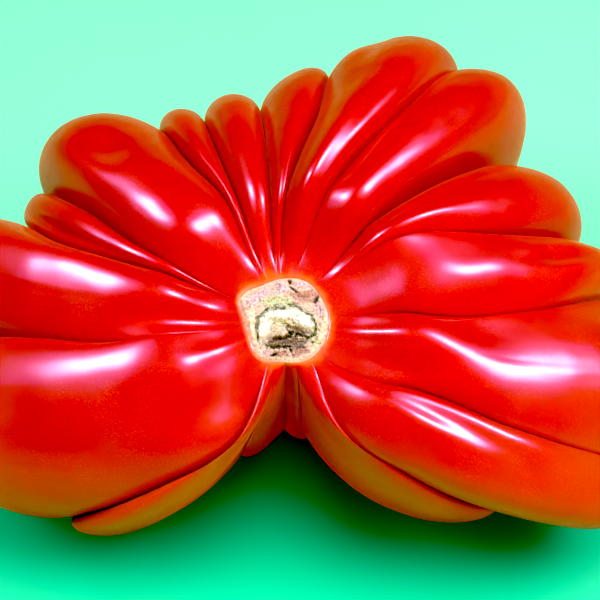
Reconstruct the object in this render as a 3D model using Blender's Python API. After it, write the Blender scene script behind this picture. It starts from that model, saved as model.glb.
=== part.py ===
"""A big ribbed beefsteak tomato, resting on a small flat spot at its blossom end.

Lengths are in millimetres and angles in degrees until a mesh is made, which is in metres. The fruit
is drawn about its stem axis with the seat of the stem at the origin, then tipped forward, so that
the stem's seat looks up and out over the deep cleft at the front (-Y).
"""

from collections import namedtuple

import bpy
import numpy as np

MM = 0.001

# How the fruit lies.
TIP_FORWARD = 15.0  # of the stem axis, towards the front
STEM_HEIGHT = 53.0  # of the stem's seat over the spot it rests on
SPOT_HALF_WIDTH = 20.0
SPOT_HALF_DEPTH = 11.0
SPOT_BACK = 8.0  # of the middle of that spot, behind the stem axis

# The general shape.
EQUATOR = -24.0  # level of the widest place of every lobe
DIP_WIDTH = 12.0  # of the hollow that the stem sits in
DIP_EDGE = 3.0  # how sudden the shoulder round it is
TOP_BOW = 0.95
TOP_RISE = 1.05
UNDER_BOW = 0.85
UNDER_FALL = 0.8

# The seat of the stem, the corky ring in it and the dry stub of the stem inside the ring.
SEAT_DEPTH = 2.0
GAP = 0.35
RING_TOP = 0.9
STUB_TOP = 1.3
STUB_HALF_WIDTH = 5.4
STUB_HALF_DEPTH = 4.4
STUB_FORWARD = 1.4  # of its middle, from the stem axis
SEAT_OUTLINE = (
    (3, 7.9),
    (36, 7.9),
    (65, 8.6),
    (90, 8.3),
    (122, 8.2),
    (152, 9.4),
    (175, 7.6),
    (197, 7.1),
    (240, 8.5),
    (270, 8.3),
    (301, 8.8),
    (324, 8.4),
)

# A crease runs from the stem's seat over the shoulder, round the rim and under the fruit. Its
# bearings are those at the angles of STATIONS along the way, 0 at the seat, 90 at the rim and 180
# underneath. Its depths are those at all of them but the first and the last, where it has none.
STATIONS = (0, 15, 35, 60, 90, 180)
Crease = namedtuple("Crease", "bearings depths soft reach crown")
Lobe = namedtuple("Lobe", "name steps reach crown lean")

# In order round the fruit: each crease, then the lobe between it and the next one.
RIBS = (
    (
        Crease((270, 270, 270, 269, 268, 268), (0.2, 0.5, 2, 3.5), 0.3, 10, -4),
        Lobe("cleft_right", 6, 11, -3.5, (0, 0)),
    ),
    (
        Crease((285, 283, 283, 284, 285, 285), (0.6, 2, 3.5, 4.5), 0.3, 15, -3),
        Lobe("under_right", 9, 36, -1, (0.1, 0.1)),
    ),
    (
        Crease((300, 297, 309, 318.5, 325, 325), (3, 5, 7, 6.5), 0.15, 56, 1),
        Lobe("front_right", 10, 73, 3, (0, 0.15)),
    ),
    (
        Crease((312, 329, 334, 339, 342, 342), (4, 3, 1.6, 0.3), 0.1, 73, 5),
        Lobe("right", 12, 78, 4.8, (0.3, -0.45)),
    ),
    (
        Crease((366, 361, 364, 369, 372, 372), (3, 4, 5, 5), 0.4, 72, 6),
        Lobe("right_upper", 9, 72, 4.8, (-0.2, 0.05)),
    ),
    (
        Crease((404, 396, 386, 383, 382, 382), (1, 3, 5, 5), 0.2, 68, 7),
        Lobe("right_back", 11, 71, 6.5, (-0.5, -0.3)),
    ),
    (
        Crease((412, 409, 406, 404, 402, 402), (6, 8, 8.5, 8.5), 0.1, 69, 9),
        Lobe("back_right", 10, 81, 8, (-0.2, -0.15)),
    ),
    (
        Crease((438, 430, 423, 421, 420, 420), (5, 4.5, 4, 4), 0.4, 80, 11),
        Lobe("back", 12, 80, 11, (-0.15, -0.4)),
    ),
    (
        Crease((456, 449, 443, 442, 442, 442), (4, 6.5, 6, 5.5), 0.15, 71.5, 8),
        Lobe("finger_1", 8, 66.5, 6, (0, 0)),
    ),
    (
        Crease((461, 457, 456, 456, 456, 456), (3.5, 5, 5, 4.5), 0.1, 62, 6),
        Lobe("finger_2", 8, 62.5, 5, (0, 0)),
    ),
    (
        Crease((473, 471, 470, 469, 468, 468), (3.5, 5, 5, 4.5), 0.1, 62, 5),
        Lobe("finger_3", 8, 62.5, 4, (0, 0)),
    ),
    (
        Crease((480, 475, 478, 478, 478, 478), (3.5, 6, 6, 5.5), 0.1, 64, 6),
        Lobe("back_left", 13, 72, 8, (0.1, 0.2)),
    ),
    (
        Crease((515, 514, 508, 505, 504, 504), (4, 7, 9, 7), 0.1, 69, 7),
        Lobe("left_sliver", 8, 65, 5, (0, 0)),
    ),
    (
        Crease((517, 519.5, 518.5, 514, 511, 511), (4, 6, 7, 8), 0.1, 68, 7),
        Lobe("left", 12, 81, 6.5, (-0.15, -0.55)),
    ),
    (
        Crease((550, 551, 543, 538, 536, 536), (1, 4, 6, 7), 0.3, 74, 6),
        Lobe("front_left", 14, 72, 5, (-0.35, -0.35)),
    ),
    (
        Crease((610, 610, 593.5, 582.5, 577, 577), (3, 5.5, 7.5, 7), 0.15, 58, 1),
        Lobe("under_left", 10, 43, 0, (-0.1, -0.1)),
    ),
    (
        Crease((617, 619, 616, 610, 604, 604), (0.6, 2, 3.5, 4.5), 0.3, 23, -3),
        Lobe("cleft_left", 7, 15, -4, (0, 0)),
    ),
)

# Small swellings and hollows on one lobe: where across it (-1 to 1) and where along it (degrees).
Dent = namedtuple("Dent", "lobe across along height across_size along_size")
DENTS = (
    Dent("front_left", 0.45, 12, -1.6, 0.4, 7),
    Dent("front_left", -0.42, 6, 0.55, 0.25, 7),
    Dent("left", 0.5, 11, -1.3, 0.4, 7),
    Dent("right", -0.5, 11, -1.2, 0.4, 7),
    Dent("right", 0.36, 7, 0.4, 0.2, 6),
    Dent("right", 0.2, 48, 1, 0.6, 12),
    Dent("back_left", 0.1, 43, -2, 0.3, 8),
    Dent("back_left", 0.55, 52, 1.2, 0.3, 14),
    Dent("back_left", -0.1, 7, 0.8, 1.2, 6),
    Dent("back", 0.75, 66, 1.3, 0.3, 20),
    Dent("back", -0.45, 30, -0.7, 0.3, 14),
    Dent("back", 0.25, 58, -0.6, 0.2, 16),
    Dent("back_right", 0, 13, 1.2, 0.8, 8),
    Dent("right_back", -0.5, 17, 1, 0.8, 8),
    Dent("right_upper", 0, 18, 1, 0.8, 8),
    Dent("right_upper", 0.12, 50, -1.2, 0.18, 10),
    Dent("left_sliver", 0.55, 48, -1.2, 0.2, 16),
    Dent("front_right", 0.6, 23, -0.9, 0.2, 11),
    Dent("front_right", 0.85, 37, 0.8, 0.3, 9),
)

# Where the rows of the mesh lie along the way from the seat to the spot underneath.
ROWS = (0, 2, 5, 9, 13, 17, 21, 25, 30, 35, 40, 46, 52, 58, 64, 70, 76, 82, 88, 94, 101, 108, 116, 124,
        133, 143, 154, 166, 180)


def curve_through(x, xs, ys):
    """Cubic Hermite curve through the points, with the slopes of its neighbours."""
    xs = np.asarray(xs, float)
    ys = np.asarray(ys, float)
    slopes = np.gradient(ys, xs)
    i = np.clip(np.searchsorted(xs, x) - 1, 0, len(xs) - 2)
    h = xs[i + 1] - xs[i]
    t = np.clip((x - xs[i]) / h, 0, 1)
    share = t * t * (3 - 2 * t)
    start = t * (1 - t) ** 2 * h * slopes[i]
    end = t * t * (t - 1) * h * slopes[i + 1]
    return ys[i] * (1 - share) + ys[i + 1] * share + start + end


def rise(x, low, high):
    """0 below `low`, 1 above `high` and a smooth rise between."""
    t = np.clip((x - low) / (high - low), 0, 1)
    return t * t * (3 - 2 * t)


def seat_radius(bearing):
    """Radius of the stem's seat at a bearing."""
    angles = [a for a, _ in SEAT_OUTLINE]
    radii = [r for _, r in SEAT_OUTLINE]
    angles = [a - 360 for a in angles] + angles + [a + 360 for a in angles]
    return curve_through(np.mod(bearing, 360), angles, radii * 3)


def between(before, middle, after, t):
    """Quadratic that is `before` at -1, `middle` at 0 and `after` at 1."""
    return middle + (after - before) / 2 * t + ((after + before) / 2 - middle) * t * t


def ground_level(y):
    """Level of the ground under the fruit, which the stem axis is tipped against."""
    a = np.radians(TIP_FORWARD)
    return -STEM_HEIGHT / np.cos(a) - y * np.tan(a)


def meridian(along, bearing, seat, spot, reach, crown):
    """Distance from the stem axis and level of a rib's crest, at angles `along` in radians."""
    out = np.abs(np.sin(along))
    up = np.abs(np.cos(along))
    over = along <= np.pi / 2
    top = seat + (reach - seat) * out**TOP_BOW
    under = spot + (reach - spot) * out**UNDER_BOW
    dip = crown * np.exp(-(((top - seat) / DIP_WIDTH) ** DIP_EDGE))
    top_level = EQUATOR + (crown - EQUATOR) * up**TOP_RISE - dip
    under_level = EQUATOR + (ground_level(under * np.sin(bearing)) - EQUATOR) * up**UNDER_FALL
    return np.where(over, top, under), np.where(over, top_level, under_level)


def dents(lobe, across, along):
    """How far the small swellings and hollows of a lobe lift its skin."""
    lift = np.zeros_like(along)
    for dent in DENTS:
        if dent.lobe == lobe.name:
            a = (across - dent.across) / dent.across_size
            b = (along - dent.along) / dent.along_size
            lift = lift + dent.height * np.exp(-a * a - b * b)
    return lift


def column(before, lobe, after, t, along):
    """Points of one line of the skin, from the seat to the spot underneath, at `t` across a lobe."""
    angle = np.radians(along)
    share = (t + 1) / 2
    first = curve_through(along, STATIONS, before.bearings)
    last = curve_through(along, STATIONS, after.bearings)
    bearing = np.radians(first + (last - first) * share)
    depths = [d * (1 - share) + e * share for d, e in zip(before.depths, after.depths)]
    depth = np.clip(curve_through(along, STATIONS, (0, *depths, 0)), 0, None)
    soft = before.soft if t < 0 else after.soft
    lean = lobe.lean[0] + (lobe.lean[1] - lobe.lean[0]) * rise(along, 10, 30)
    skew = (t - lean) / (1 - lean * t)
    round_arc = np.sqrt(1 - skew * skew)
    arc = (1 - soft) * round_arc + soft * round_arc**2
    sink = depth * (1 - arc) * np.clip(6 * np.sin(angle), 0, 1) - dents(lobe, t, along)
    reach = between(before.reach, lobe.reach, after.reach, t)
    crown = between(before.crown, lobe.crown, after.crown, t)
    seat = seat_radius(np.degrees(bearing))
    spot_x = SPOT_HALF_WIDTH * np.cos(bearing)
    spot_y = SPOT_HALF_DEPTH * np.sin(bearing) + SPOT_BACK
    spot = np.hypot(spot_x, spot_y)
    here = meridian(angle, bearing, seat, spot, reach, crown)
    step = 0.001
    ahead = meridian(np.minimum(angle + step, np.pi), bearing, seat, spot, reach, crown)
    behind = meridian(np.maximum(angle - step, 0), bearing, seat, spot, reach, crown)
    run = ahead[0] - behind[0]
    fall = ahead[1] - behind[1]
    length = np.hypot(run, fall)
    radius = here[0] + sink * fall / length
    z = here[1] - sink * run / length
    x = radius * np.cos(bearing)
    y = radius * np.sin(bearing)
    under = np.clip(-np.cos(angle), 0, 1) ** 2
    x = x + under * (spot_x - spot * np.cos(bearing))
    shift = under * (spot_y - spot * np.sin(bearing))
    z = z - shift * under * np.tan(np.radians(TIP_FORWARD))
    return np.stack([x, y + shift, z], axis=-1)


def skin():
    """Grid of the fruit's skin, rows from the seat down, columns round it, in millimetres."""
    along = np.array(ROWS, float)
    columns = []
    for i, (before, lobe) in enumerate(RIBS):
        after = RIBS[i + 1][0] if i + 1 < len(RIBS) else next_round(RIBS[0][0])
        for k in range(lobe.steps):
            t = -np.cos(np.pi * k / lobe.steps)
            columns.append(column(before, lobe, after, t, along))
    return np.stack(columns, axis=1)


def next_round(crease):
    """The same crease, one turn further on."""
    return crease._replace(bearings=tuple(b + 360 for b in crease.bearings))


def tipped(points):
    """The points with the stem axis tipped forward and the spot underneath on the ground."""
    a = np.radians(TIP_FORWARD)
    x, y, z = np.moveaxis(np.asarray(points, float), -1, 0)
    forward = y * np.cos(a) - z * np.sin(a)
    upward = z * np.cos(a) + y * np.sin(a) + STEM_HEIGHT
    return np.stack([x, forward, upward], axis=-1)


def seat_ring(bearings, inset, z):
    """A ring that follows the outline of the stem's seat, set in from it, at one level."""
    radius = seat_radius(bearings) - inset
    angle = np.radians(bearings)
    return np.stack([radius * np.cos(angle), radius * np.sin(angle), np.full_like(angle, z)], axis=-1)


def fruit_rings():
    """Rings of the whole fruit: floor of the stem's seat, its wall, then the skin down to the spot."""
    rows = list(skin())
    rim = rows[0]
    bearings = np.degrees(np.arctan2(rim[:, 1], rim[:, 0]))
    return [seat_ring(bearings, 0.15, -SEAT_DEPTH), *rows]


def stub_ring(bearings, inset, z):
    """A ring that follows the outline of the stub, set in from it, at one level."""
    angle = np.radians(bearings)
    x = (STUB_HALF_WIDTH - inset) * np.cos(angle)
    y = (STUB_HALF_DEPTH - inset) * np.sin(angle) - STUB_FORWARD
    return np.stack([x, y, np.full_like(angle, z)], axis=-1)


def cork_rings():
    """Rings of the corky ring, once round its own thickness."""
    bearings = np.arange(0, 360, 9.0)
    low = GAP - SEAT_DEPTH
    profile = (
        (1, low),
        (1, 0.1),
        (0.8, 0.7 * RING_TOP),
        (0.5, RING_TOP),
        (0.15, 0.6 * RING_TOP),
        (0.03, 0.1),
        (0, low),
    )
    rings = []
    for share, z in profile:
        outer = seat_ring(bearings, GAP, z)
        inner = stub_ring(bearings, -GAP, z)
        rings.append(outer * (1 - share) + inner * share)
    return rings


def stub_level(x, y, share):
    """Level of the stub's top: a low dome with an arched cushion behind and a hollow in front."""
    dome = 0.2 + (STUB_TOP - 0.7) * (1 - share**3)
    cushion = 0.55 * np.exp(-((x / 3) ** 2) - ((y - 0.6) / 1.3) ** 2)
    hollow = 0.7 * np.exp(-((x / 1.6) ** 2) - ((y + 2.8) / 1.2) ** 2)
    return dome + cushion - hollow


def stub_rings():
    """Rings of the dry stub, from the middle of its top out and down to its flat underside."""
    bearings = np.arange(0, 360, 12.0)
    edge = stub_ring(bearings, 0, 0.0)
    middle = np.array([0, -STUB_FORWARD, 0])
    rings = []
    for share in (0.06, 0.25, 0.45, 0.65, 0.82, 0.95):
        ring = middle + (edge - middle) * share
        ring[:, 2] = stub_level(ring[:, 0], ring[:, 1], share)
        rings.append(ring)
    rings[0][:, 2] = rings[0][:, 2].mean()
    for level in (0.1, GAP - SEAT_DEPTH):
        ring = edge.copy()
        ring[:, 2] = level
        rings.append(ring)
    return rings


def strip_faces(rows, columns, closed):
    """Quads between each ring and the next, and between the last and the first when closed."""
    faces = []
    for i in range(rows if closed else rows - 1):
        upper = i * columns
        lower = (i + 1) % rows * columns
        for j in range(columns):
            k = (j + 1) % columns
            faces.append((upper + j, lower + j, lower + k, upper + k))
    return faces


def mesh_object(name, rings, closed, material):
    """A shaded mesh object in metres, from rings that run downwards, counter-clockwise from above."""
    rows = len(rings)
    columns = len(rings[0])
    points = tipped(np.concatenate(rings)) * MM
    faces = strip_faces(rows, columns, closed)
    if not closed:
        faces.append(tuple(range(columns)))
        faces.append(tuple(range(rows * columns - 1, (rows - 1) * columns - 1, -1)))
    mesh = bpy.data.meshes.new(name)
    mesh.from_pydata([tuple(p) for p in points.tolist()], [], faces)
    mesh.shade_smooth()
    mesh.materials.append(material)
    piece = bpy.data.objects.new(name, mesh)
    bpy.context.scene.collection.objects.link(piece)
    return piece


def plain_material(name, colour, roughness, coat):
    """A material of one colour."""
    material = bpy.data.materials.new(name)
    material.use_nodes = True
    shader = material.node_tree.nodes["Principled BSDF"]
    shader.inputs["Base Color"].default_value = (*colour, 1.0)
    shader.inputs["Roughness"].default_value = roughness
    shader.inputs["Coat Weight"].default_value = coat
    return material


def centre_on_ground(pieces):
    """Moves the pieces together so that the middle of the fruit's plan is at x = y = 0."""
    points = np.array([v.co for v in pieces[0].data.vertices])
    middle = (points.min(axis=0) + points.max(axis=0)) / 2
    for piece in pieces:
        for vertex in piece.data.vertices:
            vertex.co.x -= middle[0]
            vertex.co.y -= middle[1]


def main():
    for old in list(bpy.data.objects):
        bpy.data.objects.remove(old, do_unlink=True)
    red = plain_material("skin", (0.75, 0.01, 0.005), 0.2, 0.5)
    tan = plain_material("cork", (0.45, 0.3, 0.16), 0.9, 0.0)
    pale = plain_material("dry_stem", (0.62, 0.66, 0.4), 0.9, 0.0)
    fruit = mesh_object("fruit", fruit_rings(), False, red)
    ring = mesh_object("cork_ring", cork_rings(), True, tan)
    stub = mesh_object("stem_stub", stub_rings(), False, pale)
    centre_on_ground([fruit, ring, stub])


main()
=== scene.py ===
"""The looks of a big ribbed beefsteak tomato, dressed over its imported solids.

The fruit is the same parametric skin as the solid, sampled much finer and given its small swellings,
and the corky ring and the dry stub get their real relief. Lengths are in millimetres and angles in
degrees in the fruit's own frame (stem's seat at the origin), and in metres in the scene.
"""

from collections import namedtuple

import bpy
import numpy as np
from mathutils import Matrix, Vector, noise


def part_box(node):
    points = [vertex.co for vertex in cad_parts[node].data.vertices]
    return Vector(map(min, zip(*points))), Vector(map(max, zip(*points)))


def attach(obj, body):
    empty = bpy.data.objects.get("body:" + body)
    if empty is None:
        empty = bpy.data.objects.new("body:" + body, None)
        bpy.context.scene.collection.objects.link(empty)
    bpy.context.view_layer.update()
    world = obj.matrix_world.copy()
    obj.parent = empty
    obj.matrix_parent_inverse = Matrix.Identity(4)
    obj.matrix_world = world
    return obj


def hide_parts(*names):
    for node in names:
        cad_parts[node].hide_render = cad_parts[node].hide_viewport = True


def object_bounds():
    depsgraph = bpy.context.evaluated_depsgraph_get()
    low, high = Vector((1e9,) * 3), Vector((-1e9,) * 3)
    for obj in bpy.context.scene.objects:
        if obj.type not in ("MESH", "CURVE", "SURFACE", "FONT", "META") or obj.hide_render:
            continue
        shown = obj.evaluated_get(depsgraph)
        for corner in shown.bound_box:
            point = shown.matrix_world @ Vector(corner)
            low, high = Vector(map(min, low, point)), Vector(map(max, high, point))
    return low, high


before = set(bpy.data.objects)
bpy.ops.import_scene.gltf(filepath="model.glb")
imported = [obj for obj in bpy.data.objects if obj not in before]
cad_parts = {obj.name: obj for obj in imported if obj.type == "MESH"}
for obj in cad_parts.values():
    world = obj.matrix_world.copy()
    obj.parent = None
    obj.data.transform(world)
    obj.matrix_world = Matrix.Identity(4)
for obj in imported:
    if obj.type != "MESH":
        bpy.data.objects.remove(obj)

MM = 0.001
CAD_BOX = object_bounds()

# How the fruit lies.
TIP_FORWARD = 15.0  # of the stem axis, towards the front
STEM_HEIGHT = 53.0  # of the stem's seat over the spot it rests on
SPOT_HALF_WIDTH = 20.0
SPOT_HALF_DEPTH = 11.0
SPOT_BACK = 8.0  # of the middle of that spot, behind the stem axis

# The general shape.
EQUATOR = -24.0  # level of the widest place of every lobe
DIP_WIDTH = 12.0  # of the hollow that the stem sits in
DIP_EDGE = 3.0  # how sudden the shoulder round it is
TOP_BOW = 0.95
TOP_RISE = 1.05
UNDER_BOW = 0.85
UNDER_FALL = 0.8

# The seat of the stem, the corky ring in it and the dry stub of the stem inside the ring.
SEAT_DEPTH = 2.0
GAP = 0.35
STUB_HALF_WIDTH = 5.4
STUB_HALF_DEPTH = 4.4
STUB_FORWARD = 1.4  # of its middle, from the stem axis
SEAT_OUTLINE = (
    (3, 7.9),
    (36, 7.9),
    (65, 8.6),
    (90, 8.3),
    (122, 8.2),
    (152, 9.4),
    (175, 7.6),
    (197, 7.1),
    (240, 8.5),
    (270, 8.3),
    (301, 8.8),
    (324, 8.4),
)

# A crease runs from the stem's seat over the shoulder, round the rim and under the fruit. Its
# bearings are those at the angles of STATIONS along the way, 0 at the seat, 90 at the rim and 180
# underneath. Its depths are those at all of them but the first and the last, where it has none.
STATIONS = (0, 15, 35, 60, 90, 180)
Crease = namedtuple("Crease", "bearings depths soft reach crown")
Lobe = namedtuple("Lobe", "name steps reach crown lean")

# In order round the fruit: each crease, then the lobe between it and the next one.
RIBS = (
    (
        Crease((270, 270, 270, 269, 268, 268), (0.2, 0.5, 2, 3.5), 0.3, 10, -4),
        Lobe("cleft_right", 6, 11, -3.5, (0, 0)),
    ),
    (
        Crease((285, 283, 283, 284, 285, 285), (0.6, 2, 3.5, 4.5), 0.3, 15, -3),
        Lobe("under_right", 9, 36, -1, (0.1, 0.1)),
    ),
    (
        Crease((300, 297, 309, 318.5, 325, 325), (3, 5, 7, 6.5), 0.15, 56, 1),
        Lobe("front_right", 10, 73, 3, (0, 0.15)),
    ),
    (
        Crease((312, 329, 334, 339, 342, 342), (4, 3, 1.6, 0.3), 0.1, 73, 5),
        Lobe("right", 12, 78, 4.8, (0.3, -0.45)),
    ),
    (
        Crease((366, 361, 364, 369, 372, 372), (3, 4, 5, 5), 0.4, 72, 6),
        Lobe("right_upper", 9, 72, 4.8, (-0.2, 0.05)),
    ),
    (
        Crease((404, 396, 386, 383, 382, 382), (1, 3, 5, 5), 0.2, 68, 7),
        Lobe("right_back", 11, 71, 6.5, (-0.5, -0.3)),
    ),
    (
        Crease((412, 409, 406, 404, 402, 402), (6, 8, 8.5, 8.5), 0.1, 69, 9),
        Lobe("back_right", 10, 81, 8, (-0.2, -0.15)),
    ),
    (
        Crease((438, 430, 423, 421, 420, 420), (5, 4.5, 4, 4), 0.4, 80, 11),
        Lobe("back", 12, 80, 11, (-0.15, -0.4)),
    ),
    (
        Crease((456, 449, 443, 442, 442, 442), (4, 6.5, 6, 5.5), 0.15, 71.5, 8),
        Lobe("finger_1", 8, 66.5, 6, (0, 0)),
    ),
    (
        Crease((461, 457, 456, 456, 456, 456), (3.5, 5, 5, 4.5), 0.1, 62, 6),
        Lobe("finger_2", 8, 62.5, 5, (0, 0)),
    ),
    (
        Crease((473, 471, 470, 469, 468, 468), (3.5, 5, 5, 4.5), 0.1, 62, 5),
        Lobe("finger_3", 8, 62.5, 4, (0, 0)),
    ),
    (
        Crease((480, 475, 478, 478, 478, 478), (3.5, 6, 6, 5.5), 0.1, 64, 6),
        Lobe("back_left", 13, 72, 8, (0.1, 0.2)),
    ),
    (
        Crease((515, 514, 508, 505, 504, 504), (4, 7, 9, 7), 0.1, 69, 7),
        Lobe("left_sliver", 8, 65, 5, (0, 0)),
    ),
    (
        Crease((517, 519.5, 518.5, 514, 511, 511), (4, 6, 7, 8), 0.1, 68, 7),
        Lobe("left", 12, 81, 6.5, (-0.15, -0.55)),
    ),
    (
        Crease((550, 551, 543, 538, 536, 536), (1, 4, 6, 7), 0.3, 74, 6),
        Lobe("front_left", 14, 72, 5, (-0.35, -0.35)),
    ),
    (
        Crease((610, 610, 593.5, 582.5, 577, 577), (3, 5.5, 7.5, 7), 0.15, 58, 1),
        Lobe("under_left", 10, 43, 0, (-0.1, -0.1)),
    ),
    (
        Crease((617, 619, 616, 610, 604, 604), (0.6, 2, 3.5, 4.5), 0.3, 23, -3),
        Lobe("cleft_left", 7, 15, -4, (0, 0)),
    ),
)

# Small swellings and hollows on one lobe: where across it (-1 to 1) and where along it (degrees).
Dent = namedtuple("Dent", "lobe across along height across_size along_size")
DENTS = (
    Dent("front_left", 0.45, 12, -1.6, 0.4, 7),
    Dent("front_left", -0.42, 6, 0.55, 0.25, 7),
    Dent("left", 0.5, 11, -1.3, 0.4, 7),
    Dent("right", -0.5, 11, -1.2, 0.4, 7),
    Dent("right", 0.36, 7, 0.4, 0.2, 6),
    Dent("right", 0.2, 48, 1, 0.6, 12),
    Dent("back_left", 0.1, 43, -2, 0.3, 8),
    Dent("back_left", 0.55, 52, 1.2, 0.3, 14),
    Dent("back_left", -0.1, 7, 0.8, 1.2, 6),
    Dent("back", 0.75, 66, 1.3, 0.3, 20),
    Dent("back", -0.45, 30, -0.7, 0.3, 14),
    Dent("back", 0.25, 58, -0.6, 0.2, 16),
    Dent("back_right", 0, 13, 1.2, 0.8, 8),
    Dent("right_back", -0.5, 17, 1, 0.8, 8),
    Dent("right_upper", 0, 18, 1, 0.8, 8),
    Dent("right_upper", 0.12, 50, -1.2, 0.18, 10),
    Dent("left_sliver", 0.55, 48, -1.2, 0.2, 16),
    Dent("front_right", 0.6, 23, -0.9, 0.2, 11),
    Dent("front_right", 0.85, 37, 0.8, 0.3, 9),
    # Finer ones than the solid has.
    Dent("right", -0.1, 60, 1.2, 0.6, 14),
    Dent("right", 0.7, 24, -0.7, 0.4, 12),
    Dent("back_left", -0.2, 13, -0.6, 0.4, 7),
    Dent("back", -0.5, 17, -0.5, 0.3, 12),
    Dent("back_right", -0.1, 40, -0.7, 0.4, 10),
    Dent("right_back", -0.4, 28, 0.7, 0.4, 9),
    Dent("right_upper", -0.1, 30, 0.6, 0.4, 9),
    Dent("left", -0.2, 8, 0.4, 0.4, 6),
    Dent("front_right", 0.5, 22, 0.3, 0.3, 10),
)

# Where the rows of the mesh lie along the way from the seat to the spot underneath.
ROWS = (0, 2, 5, 9, 13, 17, 21, 25, 30, 35, 40, 46, 52, 58, 64, 70, 76, 82, 88, 94, 101, 108, 116, 124,
        133, 143, 154, 166, 180)


def curve_through(x, xs, ys):
    """Cubic Hermite curve through the points, with the slopes of its neighbours."""
    xs = np.asarray(xs, float)
    ys = np.asarray(ys, float)
    slopes = np.gradient(ys, xs)
    i = np.clip(np.searchsorted(xs, x) - 1, 0, len(xs) - 2)
    h = xs[i + 1] - xs[i]
    t = np.clip((x - xs[i]) / h, 0, 1)
    share = t * t * (3 - 2 * t)
    start = t * (1 - t) ** 2 * h * slopes[i]
    end = t * t * (t - 1) * h * slopes[i + 1]
    return ys[i] * (1 - share) + ys[i + 1] * share + start + end


def rise(x, low, high):
    """0 below `low`, 1 above `high` and a smooth rise between."""
    t = np.clip((x - low) / (high - low), 0, 1)
    return t * t * (3 - 2 * t)


def seat_radius(bearing):
    """Radius of the stem's seat at a bearing."""
    angles = [a for a, _ in SEAT_OUTLINE]
    radii = [r for _, r in SEAT_OUTLINE]
    angles = [a - 360 for a in angles] + angles + [a + 360 for a in angles]
    return curve_through(np.mod(bearing, 360), angles, radii * 3)


def between(before, middle, after, t):
    """Quadratic that is `before` at -1, `middle` at 0 and `after` at 1."""
    return middle + (after - before) / 2 * t + ((after + before) / 2 - middle) * t * t


def ground_level(y):
    """Level of the ground under the fruit, which the stem axis is tipped against."""
    a = np.radians(TIP_FORWARD)
    return -STEM_HEIGHT / np.cos(a) - y * np.tan(a)


def meridian(along, bearing, seat, spot, reach, crown):
    """Distance from the stem axis and level of a rib's crest, at angles `along` in radians."""
    out = np.abs(np.sin(along))
    up = np.abs(np.cos(along))
    over = along <= np.pi / 2
    top = seat + (reach - seat) * out**TOP_BOW
    under = spot + (reach - spot) * out**UNDER_BOW
    dip = crown * np.exp(-(((top - seat) / DIP_WIDTH) ** DIP_EDGE))
    top_level = EQUATOR + (crown - EQUATOR) * up**TOP_RISE - dip
    under_level = EQUATOR + (ground_level(under * np.sin(bearing)) - EQUATOR) * up**UNDER_FALL
    return np.where(over, top, under), np.where(over, top_level, under_level)


def dents(lobe, across, along):
    """How far the small swellings and hollows of a lobe lift its skin."""
    lift = np.zeros_like(along)
    for dent in DENTS:
        if dent.lobe == lobe.name:
            a = (across - dent.across) / dent.across_size
            b = (along - dent.along) / dent.along_size
            lift = lift + dent.height * np.exp(-a * a - b * b)
    return lift


def column(before, lobe, after, t, along):
    """Points of one line of the skin, from the seat to the spot underneath, at `t` across a lobe."""
    angle = np.radians(along)
    share = (t + 1) / 2
    first = curve_through(along, STATIONS, before.bearings)
    last = curve_through(along, STATIONS, after.bearings)
    bearing = np.radians(first + (last - first) * share)
    depths = [d * (1 - share) + e * share for d, e in zip(before.depths, after.depths)]
    depth = np.clip(curve_through(along, STATIONS, (0, *depths, 0)), 0, None)
    soft = before.soft if t < 0 else after.soft
    lean = lobe.lean[0] + (lobe.lean[1] - lobe.lean[0]) * rise(along, 10, 30)
    skew = (t - lean) / (1 - lean * t)
    round_arc = np.sqrt(1 - skew * skew)
    arc = (1 - soft) * round_arc + soft * round_arc**2
    sink = depth * (1 - arc) * np.clip(6 * np.sin(angle), 0, 1) - dents(lobe, t, along)
    reach = between(before.reach, lobe.reach, after.reach, t)
    crown = between(before.crown, lobe.crown, after.crown, t)
    seat = seat_radius(np.degrees(bearing))
    spot_x = SPOT_HALF_WIDTH * np.cos(bearing)
    spot_y = SPOT_HALF_DEPTH * np.sin(bearing) + SPOT_BACK
    spot = np.hypot(spot_x, spot_y)
    here = meridian(angle, bearing, seat, spot, reach, crown)
    step = 0.001
    ahead = meridian(np.minimum(angle + step, np.pi), bearing, seat, spot, reach, crown)
    behind = meridian(np.maximum(angle - step, 0), bearing, seat, spot, reach, crown)
    run = ahead[0] - behind[0]
    fall = ahead[1] - behind[1]
    length = np.hypot(run, fall)
    radius = here[0] + sink * fall / length
    z = here[1] - sink * run / length
    x = radius * np.cos(bearing)
    y = radius * np.sin(bearing)
    under = np.clip(-np.cos(angle), 0, 1) ** 2
    x = x + under * (spot_x - spot * np.cos(bearing))
    shift = under * (spot_y - spot * np.sin(bearing))
    z = z - shift * under * np.tan(np.radians(TIP_FORWARD))
    return np.stack([x, y + shift, z], axis=-1)


def next_round(crease):
    """The same crease, one turn further on."""
    return crease._replace(bearings=tuple(b + 360 for b in crease.bearings))


def tipped(points):
    """The points with the stem axis tipped forward and the spot underneath on the ground."""
    a = np.radians(TIP_FORWARD)
    x, y, z = np.moveaxis(np.asarray(points, float), -1, 0)
    forward = y * np.cos(a) - z * np.sin(a)
    upward = z * np.cos(a) + y * np.sin(a) + STEM_HEIGHT
    return np.stack([x, forward, upward], axis=-1)


# How much finer the dressed skin is than the solid's.
COLUMNS_EACH = 4
ROWS_EACH = 5

TINY = 1e-9  # against rounding and a division by nothing
RIM = 90  # angle along the way at which the skin turns under

# Smooth noise: how its finer octaves weaken and shrink, how far a seed moves it, and its strength.
OCTAVE_FALL = 0.6
OCTAVE_STEP = 2.1
SEED_STEPS = (17.3, 5.7, 9.1)
NOISE_GAIN = 1.6

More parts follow.
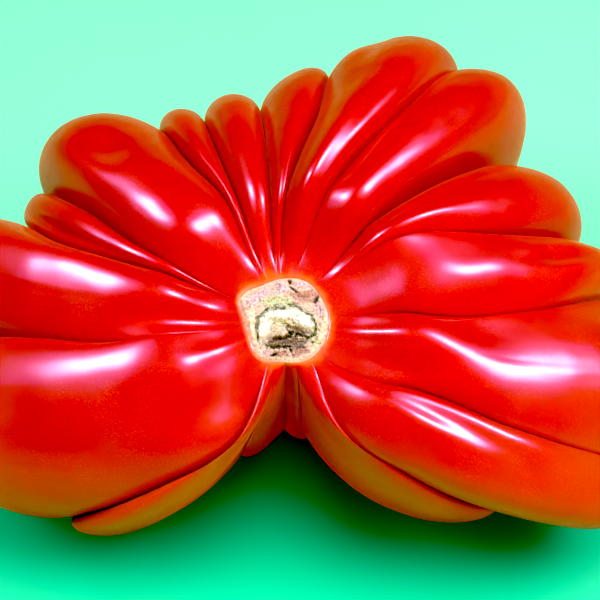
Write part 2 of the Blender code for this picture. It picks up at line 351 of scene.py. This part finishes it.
# Lumps of smooth noise: how far they stand out, how wide they are, their seed and their octaves.
Lumps = namedtuple("Lumps", "height size seed octaves")
SKIN_LUMPS = (Lumps(0.16, 11, 3, 1), Lumps(0.06, 5, 8, 1))
SCAR_LUMPS = Lumps(0.2, 1.3, 4, 3)
SCAR_PITS = Lumps(0.12, 0.5, 9, 2)
RAGGEDNESS = Lumps(0.42, 0.9, 21, 4)  # of the outlines of the scar's tissues

# Where the skin is uneven: between these angles along the way it comes in, and goes out again.
UNEVEN_FROM = (2, 14)
UNEVEN_UNTIL = (180, 120)
CREASE_SHARE = 0.25  # how uneven it is in the creases, next to the ridges

# How far the orange round the scar reaches from the seat's edge, at bearings round it.
HALO_REACH = (
    (0, 1.4), (45, 1.5), (80, 1.9), (100, 2.2), (108, 3.8), (118, 2.0), (140, 1.8), (165, 0.9),
    (200, 0.6), (235, 1.0), (255, 2.4), (268, 0.5), (284, 0.6), (300, 2.2), (330, 1.6), (360, 1.4),
)
NO_HALO = 60.0  # stands for far away, where the skin has turned under

# How the scar's pieces meet: the skin goes in under the ring, which laps over the seat's edge, and
# the stub's outline is let out a little less than the hole for it in the ring.
SEAT_INSET = 0.15
RING_OVERLAP = 0.12
STUB_SIZE = 1.02
HOLE_SIZE = 1.04
RING_INNER_FOOT = -0.6  # level of the ring's wall under its inner edge
RING_OUTER_FOOT = -0.5  # and under its outer edge

# How fine the scar is: degrees from one column to the next, and rows across it.
RING_TURN = 0.75
RING_ROWS = 46
STUB_TURN = 1.0
STUB_ROWS = 52
STUB_MIDDLE = 0.015  # share of the way out at which the stub's first row is

# The scar's relief: its floor, which sinks to nothing at the seat's edge, and the lip along that edge.
SCAR_FLOOR = 0.25
SCAR_SINK = (-0.3, 0.6)
LIP_HEIGHT = 0.12
LIP_INSET = 0.35
LIP_WIDTH = 0.3
TISSUE_EDGE = (1.4, 0.6)  # from outside to inside, in shares of a patch's size

# The skin's pale lip along the seat's edge: how far out it reaches, where it starts and stops on the
# left of the seat, and how strong it is on the right.
LIP_REACH = (0.9, 0.2)
LIP_START = (120, 150)
LIP_STOP = (262, 238)
LIP_RIGHT = 0.25

# Elliptical patches of one kind of tissue, in the plane of the stem's seat (millimetres, degrees).
Patch = namedtuple("Patch", "x y long wide turn")

# What the scar is made of: the pale arch of the stem's pith, its brown hollow, partly darkened as
# painted shade, cracks painted near black as painted shade, the dotted green vein round the pith, and
# green, lilac, tan and cream cork.
TISSUES = {
    "white": (
        Patch(-3.8, -1.5, 2.9, 1.1, 74),
        Patch(-0.2, 0.9, 3.6, 0.95, 3),
        Patch(3.5, -0.3, 2.5, 1.15, -33),
    ),
    # Brown tissue of the hollow; its darkness is partly painted shade where the hollow sinks.
    "brown": (
        Patch(2.4, -2.2, 2.3, 0.75, -22),
        Patch(-0.3, -4.3, 4.2, 1.25, 2),
        Patch(2.6, -5.0, 1.3, 0.7, 20),
    ),
    # Cracks painted near black: painted shade in them.
    "shaded_crack": (
        Patch(-0.8, -5.3, 2.0, 0.34, 5),
        Patch(1.1, -6.1, 1.0, 0.30, -70),
        Patch(3.1, -3.1, 2.0, 0.24, -20),
        Patch(0.9, -2.5, 0.9, 0.26, -42),
        Patch(0.8, 7.6, 0.5, 0.32, 100),
        Patch(1.3, 6.2, 1.2, 0.2, -42),
        Patch(5.8, 4.1, 0.65, 0.36, 62),
        Patch(-0.4, -3.5, 1.6, 0.3, 8),
        Patch(-2.1, -6.9, 0.5, 0.25, 20),
    ),
    "vein": (
        Patch(-5.1, -3.4, 1.0, 0.24, 92),
        Patch(-5.2, -1.2, 1.1, 0.34, 88),
        Patch(-5.1, 0.5, 0.7, 0.36, 30),
        Patch(-3.8, 1.6, 0.9, 0.4, 38),
        Patch(-1.9, 2.3, 0.7, 0.5, 5),
        Patch(-0.6, 2.1, 0.6, 0.34, 10),
        Patch(1.4, 2.8, 1.0, 0.42, -12),
        Patch(2.8, 2.0, 0.8, 0.3, -48),
        Patch(4.2, 1.1, 0.9, 0.26, -24),
        Patch(5.3, -0.5, 0.9, 0.3, -62),
        Patch(5.6, -2.0, 0.9, 0.3, -95),
        Patch(5.0, -3.2, 0.7, 0.26, 215),
    ),
    "green": (
        Patch(-0.8, -0.6, 1.3, 0.45, 0),
        Patch(1.3, -0.8, 0.8, 0.28, -5),
        Patch(-2.4, 3.7, 2.4, 1.0, 8),
        Patch(0.2, 3.6, 1.0, 0.8, 30),
        Patch(5.4, -4.4, 0.8, 0.9, 60),
    ),
    "lilac": (
        Patch(-5.2, 4.3, 2.7, 1.15, 34),
        Patch(-0.8, 6.2, 1.6, 1.0, 10),
        Patch(-3.4, -6.5, 0.8, 0.55, 10),
        Patch(6.4, 1.9, 1.4, 0.7, 105),
        Patch(2.9, 7.0, 1.5, 0.7, -12),
    ),
    "tan": (
        Patch(3.4, 4.6, 2.9, 1.0, -14),
        Patch(-1.2, -6.8, 2.0, 0.65, 4),
        Patch(2.9, -6.2, 1.6, 0.95, 12),
        Patch(5.3, 5.2, 1.2, 0.7, -50),
    ),
    "cream": (
        Patch(-6.3, 0.0, 3.6, 0.9, 102),
        Patch(7.2, -1.2, 2.4, 0.6, 78),
        Patch(-8.0, 3.9, 1.4, 0.5, -25),
        Patch(6.3, -4.0, 2.2, 0.5, 62),
        Patch(-1.4, -1.9, 0.5, 1.3, 0),
    ),
}

# How high each tissue stands over the scar's floor.
SWELLINGS = {
    "white": 0.7, "brown": -0.55, "shaded_crack": -0.55, "vein": -0.25,
    "green": 0.05, "lilac": 0.2, "tan": 0.1, "cream": 0.25,
}

# The two shades each tissue is mottled with, from the lowest layer to the one on top.
TINTS = {
    "cream": ((0.56, 0.42, 0.22), (0.84, 0.77, 0.52)),
    "tan": ((0.22, 0.11, 0.055), (0.46, 0.28, 0.15)),
    "lilac": ((0.34, 0.21, 0.19), (0.68, 0.56, 0.53)),
    "green": ((0.29, 0.37, 0.13), (0.56, 0.64, 0.33)),
    # Dark brown: the hollow's own colour, partly painted shade.
    "brown": ((0.07, 0.040, 0.012), (0.26, 0.17, 0.075)),
    "white": ((0.56, 0.70, 0.46), (0.84, 0.93, 0.76)),
    "vein": ((0.08, 0.10, 0.03), (0.30, 0.33, 0.15)),
    # Near black for the cracks: painted shade.
    "shaded_crack": ((0.020, 0.008, 0.003), (0.14, 0.07, 0.03)),
}
CORK_SHADES = ((0.40, 0.29, 0.16), (0.74, 0.66, 0.45))
STUB_SHADES = ((0.34, 0.32, 0.18), (0.64, 0.64, 0.45))
# Brown painted in the deepest pits of the cork: painted shade.
PIT_SHADE = (0.16, 0.06, 0.045)

# The colours of the skin, with a painted reflection of the floor low on its sides and painted shade
# under it.
DEEP_RED = (0.37, 0.0015, 0.0015)
BRIGHT_RED = (0.49, 0.002, 0.001)
# Orange painted low on the sides: a painted reflection of the mint floor in the red skin.
REFLECTED_FLOOR_ORANGE = (0.43, 0.055, 0.006)
# Darker red painted near the floor: painted shade under the fruit.
SHADED_UNDERSIDE_RED = (0.34, 0.006, 0.003)
SPECK_GOLD = (0.74, 0.09, 0.012)
HALO_ORANGE = (0.68, 0.115, 0.010)
LIP_CREAM = (0.90, 0.36, 0.20)
SHEEN_ORANGE = (1.0, 0.22, 0.03)
SKIN_DEPTHS = (1.0, 0.12, 0.05)  # how far red, green and blue light go into it, to one another

# Heights over the floor, in metres, between which the skin changes: first to a painted reflection of
# the floor, then to painted shade.
SIDES = (0.054, 0.034)  # from red to orange
UNDERSIDE = (0.034, 0.014)  # from orange to dull red
GLOSS = (0.014, 0.040)  # from dull to glossy

# The paper the fruit rests on, in metres, and its colours, deeper and darker towards the front as
# painted shade.
FLOOR_RADIUS = 2.5
FLOOR_SIDES = 96
FLOOR_LEVEL = -0.0001
FLOOR_FRONT, FLOOR_BACK = -0.11, 0.09  # between which it goes from one mint to the other
SHADED_FRONT_MINT = (0.01, 0.83, 0.39)
BACK_MINT = (0.22, 0.89, 0.47)
PATCH_MINT = (0.3, 0.9, 0.6)

# The surroundings: their colour at heights from the horizon (0) to overhead (1).
SURROUNDINGS = ((0.0, (0.30, 0.95, 0.30)), (0.3, (0.02, 0.02, 0.02)))
SURROUNDINGS_STRENGTH = 0.7

WHITE = (1.0, 0.92, 0.97)
PINK = (1.0, 0.90, 1.0)
VIOLET = (0.85, 0.13, 1.3)
WARM_RED = (1.0, 0.2, 0.05)

# Soft boxes round the fruit: azimuth from the front (-Y) towards +X and elevation in degrees, metres
# and watts. Two are there to be mirrored in the skin, and the others to light it without that.
Lamp = namedtuple("Lamp", "name azimuth elevation distance width height power middle edge switch_off")
LAMPS = (
    Lamp("left_shine", -112, 54, 0.6, 0.40, 0.40, 6.6, PINK, VIOLET, "visible_diffuse"),
    Lamp("right_shine", 108, 54, 0.6, 0.40, 0.40, 6.6, PINK, VIOLET, "visible_diffuse"),
    Lamp("left_side", -82, 48, 0.6, 0.5, 0.5, 1.05, WHITE, WHITE, "visible_glossy"),
    Lamp("right_side", 84, 48, 0.6, 0.5, 0.5, 1.5, WHITE, WHITE, "visible_glossy"),
    Lamp("top_fill", 65, 82, 0.8, 0.8, 0.8, 4.1, WHITE, WHITE, "visible_glossy"),
    Lamp("front_fill", 15, 6, 0.6, 0.6, 0.3, 1.6, WARM_RED, WARM_RED, "visible_glossy"),
)

# How a soft box changes away from its middle, in shares of its width: its brightness and its tint.
BOX_MIDDLE = (0.5, 0.5, 0.0)
BOX_FADE = (0.03, 0.44)
BOX_BRIGHTNESS = (6.0, 0.3)
BOX_TINT = (0.1, 0.45)

# The camera looks down on the stem's seat from the front (degrees and metres).
CAMERA_ELEVATION = 52.0
CAMERA_DISTANCE = 0.245
CAMERA_RIGHT = 0.0027  # how far it stands to the right of the seat
CAMERA_UP = 0.00372  # and above it, across its line of sight
CAMERA_NEAR = 0.01
HALF_VIEW = 0.0558  # half the width that it sees at the seat
SENSOR_WIDTH = 36  # millimetres

# Levels that the picture is developed between, for red, green and blue.
BLACK_LEVEL = (0.07, 0.03, 0.052)
WHITE_LEVEL = (0.87, 0.87, 0.87)

# What the noise of the Noise node mostly stays between.
NOISE_SPAN = (0.2, 0.8)

# Sockets of the Mix node that are for colours.
MIX_SHARE, MIX_FIRST, MIX_SECOND, MIX_RESULT = 0, 6, 7, 2


def noise_at(points, lumps):
    """Smooth noise from about -1 to 1 at points, with these lumps."""
    shift = Vector([lumps.seed * step for step in SEED_STEPS])
    values = [
        noise.fractal(
            Vector(p) / lumps.size + shift,
            OCTAVE_FALL,
            OCTAVE_STEP,
            lumps.octaves,
            noise_basis="PERLIN_ORIGINAL",
        )
        for p in points.reshape(-1, 3).tolist()
    ]
    return np.array(values).reshape(points.shape[:-1]) * NOISE_GAIN


def fine_skin():
    """Fine grid of the skin, with the place along it of each row and across its lobe of each column."""
    steps = len(ROWS) - 1
    along = np.interp(np.arange(0, steps + TINY, 1 / ROWS_EACH), range(steps + 1), ROWS)
    columns = []
    across = []
    for i, (before, lobe) in enumerate(RIBS):
        after = RIBS[i + 1][0] if i + 1 < len(RIBS) else next_round(RIBS[0][0])
        count = lobe.steps * COLUMNS_EACH
        for k in range(count):
            t = -np.cos(np.pi * k / count)
            columns.append(column(before, lobe, after, t, along))
            across.append(t)
    return np.stack(columns, axis=1), along, np.array(across)


def grid_normals(grid):
    """Outward normals of a grid of points that closes on itself round its columns."""
    down = np.gradient(grid, axis=0)
    round_it = np.roll(grid, -1, axis=1) - np.roll(grid, 1, axis=1)
    normals = np.cross(down, round_it)
    return normals / (np.linalg.norm(normals, axis=-1, keepdims=True) + TINY)


def uneven(grid, along, across):
    """The skin with its slight unevenness: most on the ridges, none at the seat nor underneath."""
    ease = rise(along, *UNEVEN_FROM) * rise(along, *UNEVEN_UNTIL)
    ridge = 1 - np.abs(across) ** 3
    lift = sum(lumps.height * noise_at(grid, lumps) for lumps in SKIN_LUMPS)
    lift = lift * ease[:, None] * (CREASE_SHARE + (1 - CREASE_SHARE) * ridge[None, :])
    return grid + grid_normals(grid) * lift[..., None]


def seat_ring(bearings, inset, level):
    """A ring that follows the outline of the stem's seat, set in from it, at one level."""
    radius = seat_radius(bearings) - inset
    angle = np.radians(bearings)
    x = radius * np.cos(angle)
    y = radius * np.sin(angle)
    return np.stack([x, y, np.full_like(angle, level)], axis=-1)


def stub_outline(bearings, size):
    """Outline of the dry stub, where rays at these bearings from its middle meet it."""
    angle = np.radians(bearings)
    x = size * STUB_HALF_WIDTH * np.cos(angle)
    y = size * STUB_HALF_DEPTH * np.sin(angle) - STUB_FORWARD
    return np.stack([x, y, np.zeros_like(x)], axis=-1)


def strip_faces(rows, columns, closed):
    """Quads between each ring and the next, and between the last and the first when closed."""
    faces = []
    for i in range(rows if closed else rows - 1):
        upper = i * columns
        lower = (i + 1) % rows * columns
        for j in range(columns):
            k = (j + 1) % columns
            faces.append((upper + j, lower + j, lower + k, upper + k))
    return faces


def split_quads(points, quads):
    """Triangles of quads, each split along the diagonal that stands out."""
    a, b, c, d = (points[quads[:, k]] for k in range(4))
    outward = np.cross(c - a, d - b)
    stands_out = ((a + c - b - d) * outward).sum(axis=1) > 0
    one = np.where(stands_out[:, None], quads[:, [0, 1, 2]], quads[:, [0, 1, 3]])
    other = np.where(stands_out[:, None], quads[:, [0, 2, 3]], quads[:, [1, 2, 3]])
    return np.concatenate([one, other]).tolist()


def mesh_piece(name, rings, closed, place, facts):
    """A shaded piece from rings that run downwards, with its facts as attributes of its points."""
    rows = len(rings)
    columns = len(rings[0])
    points = place(tipped(np.concatenate(rings)))
    faces = split_quads(points, np.array(strip_faces(rows, columns, closed)))
    if not closed:
        faces.append(tuple(range(columns)))
        faces.append(tuple(range(rows * columns - 1, (rows - 1) * columns - 1, -1)))
    mesh = bpy.data.meshes.new(name)
    mesh.from_pydata([tuple(p) for p in points.tolist()], [], faces)
    mesh.shade_smooth()
    for fact, values in facts.items():
        attribute = mesh.attributes.new(fact, "FLOAT", "POINT")
        attribute.data.foreach_set("value", np.asarray(values, np.float32).ravel())
    piece = bpy.data.objects.new(name, mesh)
    bpy.context.scene.collection.objects.link(piece)
    return piece


def placing(points):
    """How a point of the tipped fruit goes to its place: its extremes on those of the solid's box."""
    low, high = (np.array(corner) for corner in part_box("fruit"))
    start = points.reshape(-1, 3).min(axis=0)
    scale = (high - low) / (points.reshape(-1, 3).max(axis=0) - start)
    return lambda p: low + (p - start) * scale


def halo_width(bearings):
    """How far the orange round the scar reaches from the seat's edge at these bearings."""
    turns, reach = zip(*HALO_REACH)
    return np.interp(bearings % 360, turns, reach)


def lip_share(out, bearings):
    """The pale lip at the seat's edge, mostly on its left, at distances out from the edge."""
    left = rise(bearings % 360, *LIP_START) * rise(bearings % 360, *LIP_STOP)
    return rise(out, *LIP_REACH) * (LIP_RIGHT + (1 - LIP_RIGHT) * left)


def make_fruit():
    """The fine fruit in place of its solid, and how points of the fruit are placed."""
    grid, along, across = fine_skin()
    grid = uneven(grid, along, across)
    rim = grid[0]
    bearings = np.degrees(np.arctan2(rim[:, 1], rim[:, 0]))
    rings = [seat_ring(bearings, SEAT_INSET, -SEAT_DEPTH), *grid]
    radius = np.hypot(grid[..., 0], grid[..., 1])
    round_seat = np.degrees(np.arctan2(grid[..., 1], grid[..., 0]))
    out = radius - seat_radius(round_seat)
    over = along[:, None] < RIM
    facts = {
        "halo": np.where(over, out / halo_width(round_seat), NO_HALO),
        "lip": lip_share(out, round_seat) * over,
    }
    facts = {name: np.concatenate([values[:1], values]) for name, values in facts.items()}
    place = placing(tipped(grid))
    fruit = mesh_piece("fruit_skin", rings, False, place, facts)
    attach(fruit, "root")
    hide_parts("fruit")
    return fruit, place


def patches_share(x, y, patches, wobble):
    """Share of a tissue: 1 in its patches, down to 0 just outside them."""
    share = np.zeros_like(x)
    for patch in patches:
        turn = np.radians(patch.turn)
        across = (x - patch.x) * np.cos(turn) + (y - patch.y) * np.sin(turn)
        up = (y - patch.y) * np.cos(turn) - (x - patch.x) * np.sin(turn)
        away = np.hypot(across / patch.long, up / patch.wide)
        share = np.maximum(share, rise(away + wobble, *TISSUE_EDGE))
    return share


def scar_facts(points):
    """What the scar is made of at points of the seat's plane."""
    x, y = points[..., 0], points[..., 1]
    flat = np.stack([x, y, np.zeros_like(x)], axis=-1)
    wobble = RAGGEDNESS.height * noise_at(flat, RAGGEDNESS)
    facts = {name: patches_share(x, y, patches, wobble) for name, patches in TISSUES.items()}
    facts["inset"] = seat_radius(np.degrees(np.arctan2(y, x))) - np.hypot(x, y)
    facts["lumps"] = noise_at(flat, SCAR_LUMPS)
    facts["pits"] = noise_at(flat, SCAR_PITS)
    return facts


def scar_level(facts):
    """Level of the scar's rough top."""
    level = SCAR_FLOOR + SCAR_LUMPS.height * facts["lumps"] + SCAR_PITS.height * facts["pits"]
    for name, height in SWELLINGS.items():
        level = level + height * facts[name]
    lip = np.exp(-(((facts["inset"] - LIP_INSET) / LIP_WIDTH) ** 2))
    return level * rise(facts["inset"], *SCAR_SINK) + LIP_HEIGHT * lip


def scar_piece(name, rings, told, closed, place):
    """A piece of the scar from its rings and what is told of each of them."""
    facts = {fact: [here[fact] for here in told] for fact in (*TISSUES, "pits")}
    return mesh_piece(name, rings, closed, place, facts)


def make_ring(place):
    """The corky ring, with its rough top, in place of its solid."""
    bearings = np.arange(0, 360, RING_TURN)
    hole = stub_outline(bearings, HOLE_SIZE)
    edge = seat_ring(bearings, -RING_OVERLAP, 0.0)
    shares = [0.0, 0.0, *np.linspace(0, 1, RING_ROWS), 1.0]
    levels = [GAP - SEAT_DEPTH, RING_INNER_FOOT, *[None] * RING_ROWS, RING_OUTER_FOOT]
    rings = []
    told = []
    for share, level in zip(shares, levels):
        ring = hole * (1 - share) + edge * share
        here = scar_facts(ring)
        ring[:, 2] = scar_level(here) if level is None else level
        rings.append(ring)
        told.append(here)
    rings.append(seat_ring(bearings, GAP, GAP - SEAT_DEPTH))
    told.append(told[-1])
    ring = scar_piece("cork_ring_rough", rings, told, True, place)
    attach(ring, "root")
    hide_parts("cork_ring")
    return ring


def make_stub(place):
    """The dry stub of the stem, with its arch and hollow, in place of its solid."""
    middle = np.array([0.0, -STUB_FORWARD, 0.0])
    edge = stub_outline(np.arange(0, 360, STUB_TURN), STUB_SIZE)
    rings = []
    told = []
    for share in (*np.linspace(STUB_MIDDLE, 1, STUB_ROWS), 1.0):
        ring = middle + (edge - middle) * share
        here = scar_facts(ring)
        ring[:, 2] = scar_level(here)
        rings.append(ring)
        told.append(here)
    rings[-1][:, 2] = GAP - SEAT_DEPTH
    stub = scar_piece("stem_stub_rough", rings, told, False, place)
    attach(stub, "root")
    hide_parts("stem_stub")
    return stub


class Nodes:
    """The nodes of a material, a lamp or the world, with short calls to add to them."""

    def __init__(self, owner, last):
        owner.use_nodes = True
        self.tree = owner.node_tree
        self.last = self.tree.nodes[last]

    def add(self, kind, **settings):
        """A new node with these settings."""
        made = self.tree.nodes.new(kind)
        for key, value in settings.items():
            setattr(made, key, value)
        return made

    def put(self, socket, value):
        """A value, or the output of another node, on a socket."""
        if isinstance(value, bpy.types.NodeSocket):
            self.tree.links.new(value, socket)
        elif isinstance(value, tuple) and len(value) == 3 and socket.type == "RGBA":
            socket.default_value = (*value, 1.0)
        else:
            socket.default_value = value

    def finish(self, inputs):
        """Values or outputs on the named sockets of the last node."""
        for name, value in inputs.items():
            self.put(self.last.inputs[name], value)

    def where(self, kind):
        """Coordinates of a point: of an object, or the direction in the world."""
        return self.add("ShaderNodeTexCoord").outputs[kind]

    def axis(self, kind, name):
        """One of the coordinates of a point."""
        split = self.add("ShaderNodeSeparateXYZ")
        self.put(split.inputs[0], self.where(kind))
        return split.outputs[name]

    def fact(self, name):
        """An attribute of the points."""
        return self.add("ShaderNodeAttribute", attribute_name=name).outputs["Fac"]

    def noise(self, size, detail):
        """Noise from 0 to 1 with lumps of `size` millimetres."""
        made = self.add("ShaderNodeTexNoise")
        self.put(made.inputs["Vector"], self.where("Object"))
        self.put(made.inputs["Scale"], 1 / (size * MM))
        self.put(made.inputs["Detail"], detail)
        return made.outputs["Fac"]

    def step(self, value, low, high, to_low=0.0, to_high=1.0, shape="SMOOTHSTEP"):
        """A rise of a value between two of its own levels, smooth unless told otherwise."""
        made = self.add("ShaderNodeMapRange", interpolation_type=shape)
        self.put(made.inputs["Value"], value)
        self.put(made.inputs["From Min"], low)
        self.put(made.inputs["From Max"], high)
        self.put(made.inputs["To Min"], to_low)
        self.put(made.inputs["To Max"], to_high)
        return made.outputs["Result"]

    def mottle(self, size, detail, low, high):
        """Noise with lumps of `size` millimetres, from one value to another."""
        return self.step(self.noise(size, detail), *NOISE_SPAN, low, high)

    def math(self, operation, a, b):
        """A sum, product or other operation."""
        made = self.add("ShaderNodeMath", operation=operation)
        self.put(made.inputs[0], a)
        self.put(made.inputs[1], b)
        return made.outputs[0]

    def mix(self, share, a, b):
        """Colour a where share is 0 and b where it is 1."""
        made = self.add("ShaderNodeMix", data_type="RGBA")
        self.put(made.inputs[MIX_SHARE], share)
        self.put(made.inputs[MIX_FIRST], a)
        self.put(made.inputs[MIX_SECOND], b)
        return made.outputs[MIX_RESULT]

    def bump(self, height, millimetres):
        """A bump of that height."""
        made = self.add("ShaderNodeBump")
        self.put(made.inputs["Height"], height)
        self.put(made.inputs["Distance"], millimetres * MM)
        return made.outputs["Normal"]


def shaded(name):
    """A new material and its nodes."""
    material = bpy.data.materials.new(name)
    return material, Nodes(material, "Principled BSDF")


def skin_colour(n, height):
    """Ripe red with golden specks, a painted floor reflection in orange low on the sides and painted
    shade underneath, orange round the scar, which has a pale lip.
    """
    red = n.mix(n.noise(14, 3), DEEP_RED, BRIGHT_RED)
    # Painted reflection: orange low on the sides, standing in for the mint floor mirrored in the skin.
    red = n.mix(n.step(height, *SIDES, 0.0, 0.85), red, REFLECTED_FLOOR_ORANGE)
    # Painted shade: darker red on the undersides near the floor.
    red = n.mix(n.step(height, *UNDERSIDE, 0.0, 0.9), red, SHADED_UNDERSIDE_RED)
    grain = n.step(n.noise(0.3, 2), 0.46, 0.74)
    patch = n.step(n.noise(9, 2), 0.35, 0.7, 0.10, 0.4)
    red = n.mix(n.math("MULTIPLY", grain, patch), red, SPECK_GOLD)
    halo_edge = n.math("ADD", n.fact("halo"), n.mottle(1.8, 3, -0.3, 0.3))
    red = n.mix(n.step(halo_edge, 1.2, 0.1, 0.0, 0.9), red, HALO_ORANGE)
    lip = n.math("MULTIPLY", n.fact("lip"), n.step(n.noise(0.7, 2), 0.25, 0.6, 0.5, 1.0))
    return n.mix(lip, red, LIP_CREAM)


def skin_material():
    """Glossy ripe skin, dull underneath and with a warm sheen where it turns away."""
    material, n = shaded("ripe_skin")
    height = n.math("ADD", n.axis("Object", "Z"), n.mottle(10, 3, -0.004, 0.004))
    facing = n.add("ShaderNodeLayerWeight").outputs["Facing"]
    coat = n.step(facing, 0.5, 0.95, 0.36, 0.10)
    n.finish({
        "Base Color": skin_colour(n, height),
        "Roughness": n.mottle(1.1, 3, 0.30, 0.42),
        "IOR": 1.45,
        "Specular IOR Level": n.step(height, *GLOSS, 0.005, 0.16),
        "Coat Weight": n.math("MULTIPLY", coat, n.step(height, *GLOSS, 0.1, 1.0)),
        "Coat Roughness": 0.10,
        "Coat IOR": 1.45,
        "Normal": n.bump(n.noise(2.4, 2), 0.03),
        "Sheen Weight": 0.6,
        "Sheen Roughness": 0.4,
        "Sheen Tint": SHEEN_ORANGE,
        "Subsurface Weight": 0.3,
        "Subsurface Radius": SKIN_DEPTHS,
        "Subsurface Scale": 0.004,
    })
    return material


def scar_material(name, shades):
    """Rough dry tissue of the scar: its own shades with the tints of its tissues over them, and painted
    shade in its cracks, hollow and pits.
    """
    material, n = shaded(name)
    colour = n.mix(n.noise(1.3, 3), *shades)
    for tissue, tints in TINTS.items():
        tint = n.mix(n.step(n.noise(0.5, 3), 0.3, 0.7), *tints)
        colour = n.mix(n.fact(tissue), colour, tint)
    # Painted shade: the deep pits darkened, except on the pale pith.
    pit = n.math("MULTIPLY", n.step(n.fact("pits"), -0.3, -0.7), n.step(n.fact("white"), 0.6, 0.0))
    n.finish({
        "Base Color": n.mix(n.math("MULTIPLY", pit, 0.4), colour, PIT_SHADE),
        "Roughness": n.mottle(0.8, 2, 0.55, 0.9),
        "Normal": n.bump(n.noise(0.32, 3), 0.1),
    })
    return material


def cork_material():
    """Rough pale cork."""
    return scar_material("rough_cork", CORK_SHADES)


def stub_material():
    """Dry stem."""
    return scar_material("dry_stub", STUB_SHADES)


def floor_material():
    """Pale mint paper, deeper and darker towards the front as painted shade."""
    material, n = shaded("mint_floor")
    # Painted shade: the floor goes deeper and darker towards the front.
    mint = n.mix(n.step(n.axis("Object", "Y"), FLOOR_FRONT, FLOOR_BACK), SHADED_FRONT_MINT, BACK_MINT)
    n.finish({
        "Base Color": n.mix(n.mottle(40, 2, 0.0, 0.06), mint, PATCH_MINT),
        "Roughness": 0.95,
        "Specular IOR Level": 0.1,
    })
    return material


def make_floor():
    """A wide round floor under the fruit."""
    angle = np.linspace(0, 2 * np.pi, FLOOR_SIDES, endpoint=False)
    points = [(FLOOR_RADIUS * np.cos(a), FLOOR_RADIUS * np.sin(a), FLOOR_LEVEL) for a in angle]
    mesh = bpy.data.meshes.new("floor")
    mesh.from_pydata(points, [], [tuple(range(FLOOR_SIDES))])
    mesh.materials.append(floor_material())
    floor = bpy.data.objects.new("floor", mesh)
    bpy.context.scene.collection.objects.link(floor)


def make_world():
    """Pale mint surroundings, dim overhead."""
    world = bpy.data.worlds.new("studio")
    bpy.context.scene.world = world
    n = Nodes(world, "Background")
    ramp = n.add("ShaderNodeValToRGB")
    n.put(ramp.inputs["Fac"], n.axis("Generated", "Z"))
    for stop, (height, colour) in zip(ramp.color_ramp.elements, SURROUNDINGS):
        stop.position = height
        stop.color = (*colour, 1)
    n.finish({"Color": ramp.outputs["Color"], "Strength": SURROUNDINGS_STRENGTH})


def lamp_direction(lamp):
    """Unit direction from the fruit towards a lamp."""
    azimuth, elevation = np.radians(lamp.azimuth), np.radians(lamp.elevation)
    level = np.cos(elevation)
    return Vector((np.sin(azimuth) * level, -np.cos(azimuth) * level, np.sin(elevation)))


def soft_light(lamp):
    """A soft box that faces the fruit: brightest in its middle, and tinted towards its edge."""
    data = bpy.data.lights.new(lamp.name, "AREA")
    data.shape = "RECTANGLE"
    data.size = lamp.width
    data.size_y = lamp.height
    data.energy = lamp.power
    n = Nodes(data, "Emission")
    centred = n.add("ShaderNodeVectorMath", operation="SUBTRACT")
    n.put(centred.inputs[0], n.add("ShaderNodeNewGeometry").outputs["Parametric"])
    n.put(centred.inputs[1], BOX_MIDDLE)
    length = n.add("ShaderNodeVectorMath", operation="LENGTH")
    n.put(length.inputs[0], centred.outputs["Vector"])
    away = length.outputs["Value"]
    n.finish({
        "Color": n.mix(n.step(away, *BOX_TINT, shape="LINEAR"), lamp.middle, lamp.edge),
        "Strength": n.step(away, *BOX_FADE, *BOX_BRIGHTNESS),
    })
    light = bpy.data.objects.new(lamp.name, data)
    bpy.context.scene.collection.objects.link(light)
    direction = lamp_direction(lamp).normalized()
    light.location = (CAD_BOX[0] + CAD_BOX[1]) / 2 + direction * lamp.distance
    light.rotation_mode = "QUATERNION"
    light.rotation_quaternion = (-direction).to_track_quat("-Z", "Y")
    setattr(light, lamp.switch_off, False)


def make_lights():
    """The soft boxes."""
    for lamp in LAMPS:
        soft_light(lamp)


def make_camera(seat):
    """The camera, looking down on the scar from the front."""
    elevation = np.radians(CAMERA_ELEVATION)
    right = Vector((1, 0, 0))
    back = Vector((0, -np.cos(elevation), np.sin(elevation)))
    up = back.cross(right)
    lens = bpy.data.cameras.new("camera")
    lens.sensor_width = SENSOR_WIDTH
    lens.lens = lens.sensor_width / 2 / (HALF_VIEW / CAMERA_DISTANCE)
    lens.clip_start = CAMERA_NEAR
    camera = bpy.data.objects.new("camera", lens)
    bpy.context.scene.collection.objects.link(camera)
    camera.location = seat + right * CAMERA_RIGHT + up * CAMERA_UP + back * CAMERA_DISTANCE
    camera.rotation_mode = "QUATERNION"
    camera.rotation_quaternion = Matrix((right, up, back)).transposed().to_quaternion()
    bpy.context.scene.camera = camera


def develop():
    """Plain colours with a firm contrast, as a studio picture is developed."""
    settings = bpy.context.scene.view_settings
    settings.view_transform = "Standard"
    settings.use_curve_mapping = True
    curves = settings.curve_mapping
    curves.black_level = BLACK_LEVEL
    curves.white_level = WHITE_LEVEL
    curves.update()


def main():
    """Builds everything round the frame."""
    fruit, place = make_fruit()
    fruit.data.materials.append(skin_material())
    make_ring(place).data.materials.append(cork_material())
    make_stub(place).data.materials.append(stub_material())
    make_floor()
    make_world()
    make_lights()
    make_camera(Vector(place(tipped(np.zeros(3))).tolist()))
    develop()


main()
